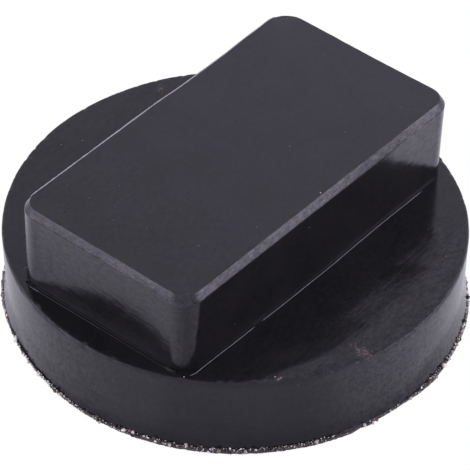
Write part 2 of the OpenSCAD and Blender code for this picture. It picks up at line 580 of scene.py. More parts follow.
def boss_shift(x, y, z, s):
    """How far the boss's points stray along X and Y: turned corners and hollow walls."""
    on_boss = z > SHOULDER_Z + NEAR
    height = rise(z, SHOULDER_Z, TOP_Z)
    shift = np.zeros((len(x), 2))
    for side_x, side_y, foot, top in CORNERS:
        share = rise(side_x * x, -BOSS_X, BOSS_X) * rise(side_y * y, -BOSS_Y, BOSS_Y)
        for axis in (0, 1):
            shift[:, axis] += share * (foot[axis] + (top[axis] - foot[axis]) * height) * MM * on_boss
    hollow = (1 - np.exp(-4 * height)) * (1 - height ** 2) * on_boss
    across = np.abs(x) / BOSS_X, np.abs(y) / BOSS_Y
    at_end = rise(np.abs(np.abs(x) - BOSS_X), 1.3 * MM, 0.3 * MM) * (1 - np.minimum(across[1], 1) ** 6)
    at_side = rise(np.abs(np.abs(y) - BOSS_Y), 1.3 * MM, 0.3 * MM) * (1 - np.minimum(across[0], 1) ** 6)
    shift[:, 0] -= s.end_sink * hollow * at_end * np.sign(x)
    shift[:, 1] -= s.side_sink * hollow * at_side * np.sign(y)
    return shift


def disc_outset(angle, radius, z, s):
    """How far the disc's points stray outwards: a rim that is not quite round, and the flare."""
    angles, extra = np.array(ROUNDNESS).T
    at_rim = rise(radius, 0.8 * s.disc_radius, s.disc_radius) * (z <= SHOULDER_Z + NEAR)
    out = np.interp(angle, angles, extra) * MM * at_rim * rise(z, 0, SHOULDER_Z)
    angles, extra, start = np.array(FLARE).T
    start = np.interp(angle, angles, start) * MM
    return out + s.flare * np.interp(angle, angles, extra) * MM * rise(z, start, 0.4 * MM) ** 2


def strayed(co, s):
    """The points moved as the moulded pad strays from its true shape, which it does only above its
    underside."""
    co = np.array(co, dtype=float)
    x, y, z = co.T.copy()
    radius = np.hypot(x, y)
    shift = np.zeros_like(co)
    shift[:, :2] = boss_shift(x, y, z, s)
    for place, reach, move in STRAYS:
        away = (co - np.array(place) * MM) / (np.array(reach) * MM)
        shift += np.array(move) * MM * bump_shape(np.linalg.norm(away, axis=1))[:, None]
    out = disc_outset(np.degrees(np.arctan2(y, x)), radius, z, s) / np.maximum(radius, MM)
    shift[:, :2] += co[:, :2] * out[:, None]
    level = rise(radius, 25.5 * MM, 32.5 * MM)
    level = level * level * (3 - 2 * level)
    in_front = rise(-y - 0.6 * np.abs(x) - 0.5 * np.maximum(x + 5 * MM, 0), 0, 12 * MM)
    shift[:, 2] -= s.dish * (1 - level) * in_front * (np.abs(z - SHOULDER_Z) < 0.5 * MM)
    return co + shift


def two_noises(place, size, share, fine_size):
    """A noise and a share of a finer one."""
    return noise.noise(place / size) + share * noise.noise(place / fine_size)


def relief(co, rim, chamfer, s):
    """How far each point stands out, as moulded rubber is never quite flat, with nicks in the disc's top
    edge and dents in the chamfer. What the flash hides and the flat underside stay."""
    hidden_below = 0.35 * MM
    shift = np.zeros(len(co))
    for i in np.flatnonzero(co[:, 2] > hidden_below).tolist():
        place = Vector(co[i])
        shift[i] = s.swell * noise.noise(place / s.swell_size)
        shift[i] += s.ripple * noise.noise(place / s.ripple_size + Vector((7, 3, 5)))
        if rim[i] > 0:
            shift[i] -= s.nicks * max(0.0, two_noises(place, 1.3 * MM, 0.6, 0.5 * MM))
        if chamfer[i] > 0:
            shift[i] += s.chamfer_wear * two_noises(place, 1.6 * MM, 0.5, 0.6 * MM)
    return shift


def mark_finish(mesh, co, normal, rim, chamfer):
    """Marks the painted sheen mottle with the rim's wear, the painted dulling and shine of the reflection,
    where the rubber is drawn into strokes, and which walls face along X.
    """
    x, y, z = co.T
    up = normal[:, 2] > 0.7
    above_underside = z > 0.1 * MM
    on_top = up & (z > TOP_Z - MM)
    on_disc = up & ~on_top
    on_wall = ~up & (z > SHOULDER_Z + 0.1 * MM)
    # To the right of the pad's middle, as the camera sees it
    sideways = 0.64 * x - 0.77 * y

    # Painted sheen mottle, with the rim's wear: least at the front of the disc's wall as the camera sees it,
    # and more towards its sides
    wear_and_painted_sheen = 0.4 + 1.3 * rise(np.abs(sideways + 2 * MM), 12 * MM, 24 * MM)
    wear_and_painted_sheen[on_top] = (0.18 + 0.22 * (x < -12 * MM))[on_top]
    shoulder_front = 1.4 * np.maximum(rise(x, 24 * MM, 17 * MM), 0.3)
    wear_and_painted_sheen[on_disc] = np.where(y < -15 * MM, shoulder_front, 0.45)[on_disc]
    wear_and_painted_sheen[on_wall] = np.where(y < 2 * MM - BOSS_Y, 1.3, 1.0)[on_wall]
    set_attribute(mesh, "wear_and_painted_sheen", np.maximum(wear_and_painted_sheen, rim) * above_underside)

    # Painted dulling and shine of the reflection: duller on the long wall's chamfer and at the boss's front
    # corner, shinier on the end wall's chamfer and at the front of the disc's wall as the camera sees it
    painted_dulling = rise(np.abs(x - 13 * MM), 9 * MM, 5 * MM) * (y < 0) * chamfer
    painted_dulling -= 0.7 * rise(y, MM, -3 * MM) * (x < -28 * MM) * chamfer
    painted_dulling -= 0.4 * rise(np.abs(sideways), 9 * MM, 0) * (z < SHOULDER_Z - MM)
    painted_dulling += 0.5 * on_wall * (x < -26 * MM) * (y < -12 * MM) * (chamfer == 0)
    set_attribute(mesh, "painted_dulling", painted_dulling)

    # On the boss's walls towards +X, on the front of the shoulder and along the end wall towards -X
    strokes = rise(x, 8 * MM, 18 * MM) * on_wall
    strokes = np.maximum(strokes, on_disc * rise(y, -14 * MM, -20 * MM))
    strokes = np.maximum(strokes, (on_wall * 1.8 + on_disc) * (x < 1.5 * MM - BOSS_X))
    set_attribute(mesh, "strokes", strokes * above_underside)
    set_attribute(mesh, "end", rise(np.abs(x), BOSS_X - 1.5 * MM, BOSS_X - 0.5 * MM))


def uneven(mesh, s):
    """Moves the points from their true places to those of a moulded pad, and marks its finish."""
    co = strayed([v.co for v in mesh.vertices], s)
    normal = np.array([v.normal for v in mesh.vertices])
    rim, chamfer = get_attribute(mesh, "rim"), get_attribute(mesh, "chamfer")
    shift = relief(co, rim, chamfer, s)
    mesh.vertices.foreach_set("co", (co + normal * shift[:, None]).astype(np.float32).ravel())
    mesh.update()
    mark_finish(mesh, co, normal, rim, chamfer)


# Trimmed flash

# The flash's section: how far out from the wall, and how high. Its tip lies at 1 mm before it is trimmed.
SECTION = (
    (-1.5, 0.02), (-1.5, 0.3), (-0.2, 0.34), (0.1, 0.37), (0.24, 0.385), (0.33, 0.385), (0.43, 0.38),
    (0.53, 0.37), (0.63, 0.36), (0.73, 0.35), (0.83, 0.33), (0.92, 0.29), (0.97, 0.22), (1.0, 0.14),
    (0.98, 0.07), (0.92, 0.01), (0.8, 0.0), (-0.2, 0.0))
# The curve that carries OUTLINE reaches as far as this, in millimetres
MOST_REACH = 1.5


def loop_mesh(name, points):
    """Mesh of edges through the points, in order, joined end to start."""
    mesh = bpy.data.meshes.new(name)
    count = len(points)
    mesh.from_pydata(points, [(i, (i + 1) % count) for i in range(count)], [])
    return mesh


def spread(points, most=1.0):
    """Points (angle, value) as points of a curve from 0 to 1 in both."""
    return [((angle + 180) / 360, value / most) for angle, value in points]


def flash_tree(material):
    """Sweeps the section round the wall, trims it to the ragged outline and marks where crumbs cling."""
    tree, given = new_tree("Trimmed flash", "GeometryNodeTree", {
        "Section": GEOMETRY, "Wall Radius": 34.0 * MM, "Steps": 1800, "Reach": 1.0,
        "Cut Depth": 0.16 * MM, "Cut Length": 1.1 * MM, "Tear": 0.09 * MM, "Seed": 3},
        ("Geometry", GEOMETRY))
    wall = given["Wall Radius"]
    ring = made(tree, "GeometryNodeCurvePrimitiveCircle", {"Resolution": given["Steps"], "Radius": wall})
    section = made(tree, "GeometryNodeMeshToCurve", {"Mesh": given["Section"]})
    swept = made(tree, "GeometryNodeCurveToMesh", {"Curve": ring, "Profile Curve": section})

    place = made(tree, "GeometryNodeInputPosition")
    x, y, z = parts(tree, place)
    radius = calc(tree, "SQRT", calc(tree, "ADD", product(tree, x, x), product(tree, y, y)))
    outward = vector(tree, calc(tree, "DIVIDE", x, radius), calc(tree, "DIVIDE", y, radius))
    share_round = calc(tree, "MULTIPLY_ADD", calc(tree, "ARCTAN2", y, x), 0.5 / math.pi, 0.5)
    torn = by_curve(tree, share_round, spread(TORN))
    on_wall = vector_calc(tree, "MULTIPLY", outward, vector(tree, wall, wall))
    seeded = vector_calc(tree, "ADD", on_wall, vector(tree, z=product(tree, given["Seed"], 0.011)))

    # How far out the tip lies: the outline, a slow wave, the blade's scallops and the torn edge
    cut = made(tree, "ShaderNodeTexVoronoi", {
        "Vector": seeded, "Scale": calc(tree, "DIVIDE", 1.0, given["Cut Length"])}, feature="F1")
    tear = clouds(tree, seeded, 0.55 * MM, 3.0, 0.7)
    slow_wave = clouds(tree, seeded, 6 * MM, 1.0)
    reach = product(tree, by_curve(tree, share_round, spread(OUTLINE, MOST_REACH)), MOST_REACH * MM)
    reach = product(tree, reach, given["Reach"])
    reach = calc(tree, "MULTIPLY_ADD", calc(tree, "SUBTRACT", slow_wave, 0.5), 0.2 * MM, reach)
    reach = calc(tree, "SUBTRACT", reach, product(tree, cut, given["Cut Depth"], torn))
    tear_gain = product(tree, calc(tree, "SUBTRACT", tear, 0.5), product(tree, torn, 4.0))
    reach = calc(tree, "MULTIPLY_ADD", tear_gain, given["Tear"], reach)

    # The section drawn out or in to that tip, and its top side roughened
    out = calc(tree, "MAXIMUM", calc(tree, "SUBTRACT", radius, wall), 0.0)
    tip = calc(tree, "DIVIDE", out, MM, clamp=True)
    shift = product(tree, tip, calc(tree, "SUBTRACT", reach, MM))
    rough = clouds(tree, vector_calc(tree, "ADD", place, seeded), 0.5 * MM, 2.0, 0.7)
    lift = product(
        tree, calc(tree, "SUBTRACT", rough, 0.42), product(tree, z, 2.2), torn,
        ranged(tree, out, 0.3 * MM, 0.5 * MM))
    moved = vector_calc(tree, "MULTIPLY", outward, vector(tree, shift, shift))
    moved = vector_calc(tree, "ADD", moved, vector(tree, z=lift))
    trimmed = made(tree, "GeometryNodeSetPosition", {"Geometry": swept, "Offset": moved})

    # Crumbs cling to the top side of the outer part, less at the very tip
    crumbs = product(
        tree, by_curve(tree, share_round, spread(CRUMBLED)), ranged(tree, tip, 0.2, 0.4),
        ranged(tree, tip, 0.9, 1.0, 1.0, 0.3), ranged(tree, z, 0.02 * MM, 0.1 * MM))
    marked = stored(tree, trimmed, "crumbs", crumbs)
    marked = stored(tree, marked, "tip", tip)
    marked = stored(tree, marked, "pale", by_curve(tree, share_round, spread(PALE)))
    return finished(tree, marked, material)


# Crumbs and dust

def drawn_value(tree, seed, low=0.0, high=1.0):
    """A number drawn by the seed between two others, or a vector between two others."""
    kind = "FLOAT_VECTOR" if isinstance(high, tuple) else "FLOAT"
    return made(tree, "FunctionNodeRandomValue", {"Min": low, "Max": high, "Seed": seed}, data_type=kind)


def crumb_tree(material):
    """Strews small lumps over faces by their "crumbs" value, or puts one at each point of the base."""
    tree, given = new_tree("Crumbs", "GeometryNodeTree", {
        "Base": GEOMETRY, "At Points": False, "Density": 1.0, "Size": 0.1 * MM, "Smallest": 0.3,
        "Lightness": 0.0, "Seed": 5}, ("Geometry", GEOMETRY))
    seed = given["Seed"]
    per_square_metre = 1e6
    strewn = made(tree, "GeometryNodeDistributePointsOnFaces", {
        "Mesh": given["Base"], "Seed": seed,
        "Density": product(tree, given["Density"], kept(tree, "crumbs"), per_square_metre)})
    placed = made(tree, "GeometryNodeMeshToPoints", {"Mesh": given["Base"]})
    points = made(tree, "GeometryNodeSwitch", {
        "Switch": given["At Points"], "False": strewn, "True": placed}, input_type="GEOMETRY")

    # One lump: a small ball, dented by noise
    ball = made(tree, "GeometryNodeMeshUVSphere", {"Segments": 8, "Rings": 5, "Radius": 1.0})
    dent = made(tree, "ShaderNodeTexNoise", {"Scale": 1.1, "Detail": 1.0})
    place = made(tree, "GeometryNodeInputPosition")
    factor = calc(tree, "MULTIPLY_ADD", dent, 1.4, -0.7)
    lump = made(tree, "GeometryNodeSetPosition", {
        "Geometry": ball,
        "Offset": vector_calc(tree, "MULTIPLY", place, vector(tree, factor, factor, factor))})

    # Its size, proportions, turn and tone are drawn by the seed. Pale lumps are larger.
    pale = kept(tree, "pale")
    size = product(tree, calc(tree, "POWER", drawn_value(tree, seed, given["Smallest"]), 1.6), given["Size"])
    size = product(tree, size, calc(tree, "MULTIPLY_ADD", calc(tree, "POWER", pale, 8.0), 0.4, 1.0))
    stretch = drawn_value(tree, calc(tree, "ADD", seed, 1), (0.65, 0.65, 0.65), (1.35, 1.35, 1.35))
    turn = drawn_value(tree, calc(tree, "ADD", seed, 2), (0.0, 0.0, 0.0), (6.28, 6.28, 6.28))
    tone = calc(tree, "MULTIPLY_ADD", pale, 0.4, drawn_value(tree, calc(tree, "ADD", seed, 3)))
    tone = calc(tree, "ADD", tone, given["Lightness"])
    lumps = made(tree, "GeometryNodeInstanceOnPoints", {
        "Points": points, "Instance": lump, "Rotation": turn, "Scale": scaled(tree, stretch, size)})
    real = made(tree, "GeometryNodeRealizeInstances", {
        "Geometry": stored(tree, lumps, "tone", tone, "INSTANCE")})

    # No lump reaches below the underside
    x, y, z = parts(tree, place)
    above = vector(tree, x, y, calc(tree, "MAXIMUM", z, 0.0))
    return finished(tree, made(tree, "GeometryNodeSetPosition", {
        "Geometry": real, "Position": above}), material)


# Fine lines of rubber

def line_tree(material):
    """Thickens a path into a thin uneven line of rubber, by the path's "size" value."""
    tree, given = new_tree("Fine line", "GeometryNodeTree", {
        "Path": GEOMETRY, "Thickness": 0.08 * MM, "Wander": 0.05 * MM, "Unevenness": 0.8, "Seed": 1},
        ("Geometry", GEOMETRY))
    curve = made(tree, "GeometryNodeMeshToCurve", {"Mesh": given["Path"]})
    even = made(tree, "GeometryNodeResampleCurve", {"Curve": curve, "Length": 0.3 * MM}, mode="LENGTH")
    place = made(tree, "GeometryNodeInputPosition")
    seeded = vector_calc(tree, "ADD", place, vector(tree, z=product(tree, given["Seed"], 0.013)))
    sway = add_node(tree, "ShaderNodeTexNoise", {
        "Vector": seeded, "Scale": 1 / (3 * MM), "Detail": 2.0}).outputs["Color"]
    sway = vector_calc(tree, "SUBTRACT", sway, (0.5, 0.5, 0.5))
    sway = scaled(tree, vector_calc(tree, "MULTIPLY", sway, (2.0, 2.0, 0.3)), given["Wander"])
    swayed = made(tree, "GeometryNodeSetPosition", {"Geometry": even, "Offset": sway})
    lumpy = calc(tree, "SUBTRACT", clouds(tree, seeded, 0.9 * MM, 2.0), 0.5)
    lumpy = calc(tree, "MULTIPLY_ADD", lumpy, product(tree, given["Unevenness"], 2.0), 1.0)
    thick = product(tree, kept(tree, "size"), lumpy, given["Thickness"])
    profile = made(tree, "GeometryNodeCurvePrimitiveCircle", {"Resolution": 8, "Radius": 1.0})
    return finished(tree, made(tree, "GeometryNodeCurveToMesh", {
        "Curve": swayed, "Profile Curve": profile, "Scale": thick, "Fill Caps": True}), material)


def path_mesh(name, stretches):
    """Mesh of edges along stretches of points (x, y, z, size, tone)."""
    mesh = bpy.data.meshes.new(name)
    points, edges = [], []
    for stretch in stretches:
        first = len(points)
        points += stretch
        edges += [(i, i + 1) for i in range(first, len(points) - 1)]
    mesh.from_pydata([p[:3] for p in points], edges, [])
    set_attribute(mesh, "size", [p[3] for p in points])
    set_attribute(mesh, "tone", [p[4] for p in points])
    return mesh


def tapered(points):
    """The stretch with its size falling off towards both ends."""
    last = len(points) - 1
    return [(x, y, z, size * min(1.0, 0.3 + 0.25 * min(i, last - i)), tone)
            for i, (x, y, z, size, tone) in enumerate(points)]


def joint_stretches(s, body):
    """The bead along the mould joint round the boss's foot, broken where the rubber closed the joint."""
    base, face, _ = boss_columns(BOSS_X + s.joint_end, BOSS_Y + s.joint_side, s.joint_corner, 720)
    loop = base + face * s.joint_corner
    loop = strayed(np.column_stack([loop, np.full(len(loop), SHOULDER_Z)]), body)
    stretches, run = [], []
    # Each stretch's tone paints the highlight along the bead: pale on the side towards -Y and at the +Y end
    # of the -X side, nearly dark along the rest of the -X side
    for (x, y, z), (out_x, out_y) in zip(loop.tolist(), face.tolist()):
        if out_y < -0.85:
            shown = x < 23.3 * MM and not -15.1 * MM < x < -13.7 * MM
            tone, size = 0.6, 0.5
        elif out_x < -0.97:
            shown = y < 13.4 * MM
            tone = 0.55 if y > 11.7 * MM else 0.08 if y > 0 else 0.03
            size = 0.45
        else:
            gap = out_y > 0.7 and 2 * MM < x < 6 * MM
            shown = (out_x > 0.3 or out_y > 0.98) and y > -10 * MM and not gap
            tone, size = 0.4, 0.8
        if shown:
            run.append((x, y, z + 0.01 * MM, size, tone))
        elif run:
            stretches.append(run)
            run = []
    stretches.append(run)
    return [tapered(stretch) for stretch in stretches if len(stretch) > 3]


def burr_stretches(body):
    """The thin burr along the boss's top edge on the +Y side."""
    y = BOSS_Y + body.boss_flare - body.chamfer_width + 0.06 * MM
    reach = BOSS_X + body.boss_flare - body.corner_radius * 0.8
    line = np.array([(x, y, TOP_Z - 0.04 * MM) for x in np.linspace(-reach, reach, 160)])
    # A tone of 0.85 paints the highlight along the burr
    return [tapered([(*point, 1.0, 0.85) for point in strayed(line, body).tolist()])]


def ridge_stretches(flash):
    """The smooth ridge where the blade left the flash whole, on the side towards -Y."""
    radius = flash.wall_radius + 0.42 * MM
    turns = np.radians(np.linspace(-113, -98, 90)).tolist()
    # A tone of 0.12 paints a faint highlight along the ridge
    return [tapered([(radius * math.cos(a), radius * math.sin(a), 0.4 * MM, 1.0, 0.12) for a in turns])]


# Shader groups

BUILT = {}


def group(tree, make, inputs):
    """The output of a shader group, which is built once and placed wherever it is used."""
    if make not in BUILT:
        BUILT[make] = make()
    return made(tree, "ShaderNodeGroup", inputs, node_tree=BUILT[make])


def drawn_group():
    """The position drawn out along X, or along Y, so that what is laid on it becomes strokes."""
    tree, given = new_tree("Drawn out", "ShaderNodeTree", {
        "Position": VECTOR, "Along Y": 0.0, "Shortening": 0.3}, ("Position", VECTOR))
    scale = made(tree, "ShaderNodeMix", {
        "Factor": given["Along Y"], "A": vector(tree, given["Shortening"], 1.0, 1.0),
        "B": vector(tree, 1.0, given["Shortening"], 1.0)}, data_type="VECTOR")
    return close_tree(tree, vector_calc(tree, "MULTIPLY", given["Position"], scale))


def skin_group():
    """Relief of moulded rubber, in metres: slow waves, fine grain and short strokes."""
    tree, given = new_tree("Moulded skin", "ShaderNodeTree", {
        "Position": VECTOR, "Wave Size": 2.2 * MM, "Wave Height": 0.006 * MM, "Grain Size": 0.3 * MM,
        "Grain Height": 0.001 * MM, "Stroke Height": 0.004 * MM, "Strokes Along Y": 0.0},
        ("Height", FLOAT))
    place = given["Position"]
    drawn = group(tree, drawn_group, {
        "Position": place, "Along Y": given["Strokes Along Y"], "Shortening": 0.2})
    height = product(tree, clouds(tree, place, given["Wave Size"], 1.0), given["Wave Height"])
    grain = clouds(tree, place, given["Grain Size"], 2.0)
    height = calc(tree, "MULTIPLY_ADD", grain, given["Grain Height"], height)
    stroke = clouds(tree, drawn, 0.8 * MM, 3.0, 0.6)
    return close_tree(tree, calc(tree, "MULTIPLY_ADD", stroke, given["Stroke Height"], height))


def speckle_group():
    """Fine unevenness of a finish, about 0 and mostly between -1 and 1, in short strokes."""
    tree, given = new_tree("Speckle", "ShaderNodeTree", {
        "Position": VECTOR, "Size": 0.7 * MM, "Strokes Along Y": 0.0, "Shortening": 0.6},
        ("Value", FLOAT))
    drawn = group(tree, drawn_group, {
        "Position": given["Position"], "Along Y": given["Strokes Along Y"],
        "Shortening": given["Shortening"]})
    fine = clouds(tree, drawn, given["Size"], 3.0, 0.9)
    return close_tree(tree, product(tree, calc(tree, "SUBTRACT", fine, 0.5), 4.0))


def stain_group():
    """A ragged stain round a place, as a mask."""
    tree, given = new_tree("Stain", "ShaderNodeTree", {
        "Position": VECTOR, "Centre": VECTOR, "Reach": VECTOR, "Ragged Size": 0.45 * MM},
        ("Mask", FLOAT))
    away = vector_calc(tree, "SUBTRACT", given["Position"], given["Centre"])
    away = vector_calc(tree, "LENGTH", vector_calc(tree, "DIVIDE", away, given["Reach"]))
    ragged = clouds(tree, given["Position"], given["Ragged Size"], 3.0, 0.7)
    inside = calc(tree, "SUBTRACT", calc(tree, "MULTIPLY_ADD", ragged, 5.0, -2.1), away)
    return close_tree(tree, calc(tree, "MULTIPLY", inside, 3.0, clamp=True))


def haze_group():
    """Dull bloom on rubber: broad clouds broken up by fine mottling, as a mask."""
    tree, given = new_tree("Bloom", "ShaderNodeTree", {
        "Position": VECTOR, "Cloud Size": 7 * MM, "Mottle Size": 0.8 * MM, "Level": 0.5},
        ("Mask", FLOAT))
    cloud = clouds(tree, given["Position"], given["Cloud Size"], 2.0)
    mottle = clouds(tree, given["Position"], given["Mottle Size"], 3.0, 0.6)
    both = calc(tree, "MULTIPLY_ADD", mottle, 0.5, product(tree, cloud, 0.5))
    contrast = product(tree, calc(tree, "SUBTRACT", both, 0.5), 2.5)
    return close_tree(tree, calc(tree, "ADD", contrast, given["Level"], clamp=True))


# Materials

COOL_SHEEN = (0.9, 0.89, 1, 1)
PINK_SHEEN = (1, 0.86, 0.97, 1)
VIOLET_SHEEN = (0.85, 0.8, 1, 1)
WHITE = (1, 1, 1, 1)


def new_material(name):
    material = bpy.data.materials.new(name)
    material.use_nodes = True
    material.node_tree.nodes.clear()
    return material, material.node_tree


def object_place(tree):
    return add_node(tree, "ShaderNodeTexCoord").outputs["Object"]


def attribute(tree, name):
    return add_node(tree, "ShaderNodeAttribute", attribute_name=name).outputs["Fac"]


def mixed(tree, factor, first, second):
    """Colour between two others."""
    return made(tree, "ShaderNodeMix", {"Factor": factor, "A": first, "B": second}, data_type="RGBA")


def bumped(tree, height):
    """The normal over a relief whose height is in metres."""
    return made(tree, "ShaderNodeBump", {"Strength": 1.0, "Distance": 1.0, "Height": height})


def coated(material, inputs):
    """The material ended with one Principled shader."""
    shader = add_node(material.node_tree, "ShaderNodeBsdfPrincipled", inputs)
    add_node(material.node_tree, "ShaderNodeOutputMaterial", {"Surface": shader.outputs[0]})
    return material


def rubber_material(s):
    """Smooth black rubber with a faint uneven bloom, duller and grainier on the chamfer and the rim, with a
    painted sheen that is stronger towards +X and the top, mottled, and pink in patches.
    """
    material, tree = new_material("Moulded black rubber")
    place = object_place(tree)
    chamfer, rim, wear_and_painted_sheen, painted_dulling, strokes, end = (
        attribute(tree, name) for name in ("chamfer", "rim", "wear_and_painted_sheen", "painted_dulling", "strokes", "end"))
    rough_part = calc(tree, "MAXIMUM", chamfer, rim)
    height = group(tree, skin_group, {
        "Position": place, "Strokes Along Y": end,
        "Stroke Height": calc(tree, "MULTIPLY_ADD", strokes, 0.011 * MM, 0.002 * MM),
        "Grain Height": calc(tree, "MULTIPLY_ADD", rough_part, 0.03 * MM, 0.0015 * MM)})
    dull = group(tree, haze_group, {"Position": place, "Level": 0.35})

    base = mixed(tree, product(tree, dull, 0.15), tuple(s.rubber), tuple(s.bloom))
    for centre, reach, stain, strength in STAINS:
        mask = group(tree, stain_group, {
            "Position": place, "Centre": [v * MM for v in centre], "Reach": [v * MM for v in reach]})
        base = mixed(tree, product(tree, mask, strength), base, stain)
    rough = calc(tree, "MULTIPLY_ADD", dull, 0.08, 0.11)
    rough = calc(tree, "MULTIPLY_ADD", rough_part, 0.14, rough)
    rough = calc(tree, "MULTIPLY_ADD", rim, 0.1, rough)

    # Painted sheen: more shine towards +X and the top, less by the painted dulling, and uneven by the
    # painted sheen mottle
    x, _, z = parts(tree, place)
    speckle = group(tree, speckle_group, {
        "Position": place, "Strokes Along Y": end,
        "Shortening": ranged(tree, z, SHOULDER_Z - 0.5 * MM, SHOULDER_Z - 0.1 * MM, 1.0, 0.6)})
    painted_sheen_level = calc(tree, "MULTIPLY_ADD", x, 0.0022 / MM, 0.5)
    for value, gain, level in (
            (z, 0.28 / TOP_Z, 0.72), (chamfer, 0.12, 1.0), (product(tree, wear_and_painted_sheen, speckle), 0.5, 1.0),
            (painted_dulling, -0.25, 1.0)):
        painted_sheen_level = product(tree, painted_sheen_level, calc(tree, "MULTIPLY_ADD", value, gain, level))
    # Patches where the painted sheen turns pink, by the sheen mottle
    patches = group(tree, haze_group, {"Position": place, "Cloud Size": 3 * MM, "Level": 0.1})
    tint = mixed(tree, product(tree, patches, wear_and_painted_sheen), COOL_SHEEN, PINK_SHEEN)
    return coated(material, {
        "Base Color": base, "Roughness": rough, "IOR": 1.55, "Specular IOR Level": painted_sheen_level,
        "Specular Tint": tint, "Normal": bumped(tree, height)})


def flash_material(s):
    """Rubber that was squeezed out and torn: matt and dusty towards its tip."""
    material, tree = new_material("Trimmed rubber")
    place = object_place(tree)
    tip = ranged(tree, attribute(tree, "tip"), 0.3, 0.6)
    height = group(tree, skin_group, {
        "Position": place, "Grain Size": 0.25 * MM, "Grain Height": product(tree, tip, 0.03 * MM),
        "Wave Height": calc(tree, "MULTIPLY_ADD", tip, 0.03 * MM, 0.006 * MM), "Wave Size": 0.9 * MM})
    dull = group(tree, haze_group, {
        "Position": place, "Level": 0.35, "Cloud Size": 3 * MM, "Mottle Size": 0.3 * MM})
    dust = product(tree, dull, calc(tree, "MULTIPLY_ADD", tip, 0.2, 0.01))
    pale = product(tree, calc(tree, "POWER", attribute(tree, "pale"), 2.0), product(tree, dull, 1.2))
    dust = calc(tree, "MULTIPLY_ADD", pale, tip, dust)
    return coated(material, {
        "Base Color": mixed(tree, dust, tuple(s.rubber), tuple(s.dust)),
        "Roughness": calc(tree, "MULTIPLY_ADD", tip, 0.3, 0.15), "IOR": 1.5,
        "Specular Tint": COOL_SHEEN, "Normal": bumped(tree, height)})


def crumb_material(s):
    """Crumbs of rubber and mould dust, each with its own tone from black over brown to cream."""
    material, tree = new_material("Crumbs")
    ramp = add_node(tree, "ShaderNodeValToRGB", {"Fac": attribute(tree, "tone")})
    stops = ramp.color_ramp.elements
    stops[0].position, stops[0].color = 0.42, s.rubber
    stops[1].position, stops[1].color = 0.95, s.white
    stops.new(0.55).color = s.brown
    stops.new(0.72).color = s.cream
    return coated(material, {"Base Color": ramp.outputs["Color"], "Roughness": 0.5, "IOR": 1.5})


def dust_material(s):
    """Fine dust, light and a little rough."""
    material, tree = new_material("Dust")
    base = mixed(tree, attribute(tree, "tone"), tuple(s.dark_dust), tuple(s.light_dust))
    return coated(material, {"Base Color": base, "Roughness": 0.6, "IOR": 1.45})


def line_material(s):
    """Thin rubber made pale by the line's own tone, which paints the highlight along the bead, the burr and
    the flash's ridge.
    """
    material, tree = new_material("Pale lines with painted highlight")
    height = group(tree, skin_group, {
        "Position": object_place(tree), "Grain Size": 0.2 * MM, "Grain Height": 0.01 * MM,
        "Stroke Height": 0.0})
    base = mixed(tree, attribute(tree, "tone"), tuple(s.rubber), tuple(s.dust))
    return coated(material, {
        "Base Color": base, "Roughness": 0.45, "IOR": 1.5, "Specular Tint": VIOLET_SHEEN,
        "Normal": bumped(tree, height)})


def floor_material(s):
    """White for the camera and in reflections, with a share of the lit surface, which keeps the shadow,
    and clear from below. Painted shade: reflections see it darker near the pad, most of all in front of it."""
    material, tree = new_material("Pale floor")
    path = add_node(tree, "ShaderNodeLightPath").outputs
    place = object_place(tree)
    distance = vector_calc(tree, "LENGTH", place)
    # Painted shade on the floor as reflections see it: darker near the pad and most of all in front of it
    to_front = vector_calc(tree, "DOT_PRODUCT", vector_calc(tree, "NORMALIZE", place), (-0.707, -0.707, 0))
    in_front = product(
        tree, ranged(tree, to_front, 0.78, 0.99, 0.0, 0.8), ranged(tree, distance, 33 * MM, 36 * MM))
    glossy_share_with_painted_shade = calc(
        tree, "MINIMUM", ranged(tree, distance, 42 * MM, 54 * MM, 0.6, 0.95),
        calc(tree, "SUBTRACT", 0.95, in_front))
    share = calc(
        tree, "ADD", product(tree, path["Is Camera Ray"], 0.93),
        product(tree, path["Is Glossy Ray"], glossy_share_with_painted_shade))
    share = calc(tree, "ADD", share, product(tree, path["Is Transmission Ray"], 0.93), clamp=True)
    tone = mixed(tree, path["Is Glossy Ray"], WHITE, tuple(s.light))
    lit = add_node(tree, "ShaderNodeBsdfDiffuse", {"Color": (0.7, 0.7, 0.7, 1)})
    white = add_node(tree, "ShaderNodeEmission", {"Color": tone, "Strength": 1.04})
    above = add_node(tree, "ShaderNodeMixShader", {0: share, 1: lit.outputs[0], 2: white.outputs[0]})
    below = add_node(tree, "ShaderNodeBsdfTransparent")
    seen = add_node(tree, "ShaderNodeMixShader", {
        0: add_node(tree, "ShaderNodeNewGeometry").outputs["Backfacing"], 1: above.outputs[0],
        2: below.outputs[0]})
    add_node(tree, "ShaderNodeOutputMaterial", {"Surface": seen.outputs[0]})
    return material


# Operators

def in_scene(mesh):
    """The mesh as an object of the scene."""
    piece = bpy.data.objects.new(mesh.name, mesh)
    bpy.context.scene.collection.objects.link(piece)
    return piece


def add_piece(mesh):
    """Puts a finished mesh on the pad."""
    piece = in_scene(mesh)
    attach(piece, "root")
    return piece


class JACKPAD_OT_body(bpy.types.Operator):
    """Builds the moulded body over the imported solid"""
    bl_idname = "jack_pad.body"
    bl_label = "Moulded body"

    def execute(self, context):
        s = context.scene.jack_pad_body
        mesh = mesh_from_rings("moulded_body", body_rings(s))
        uneven(mesh, s)
        mesh.materials.append(rubber_material(s))
        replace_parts(add_piece(mesh), NODE)
        return {"FINISHED"}


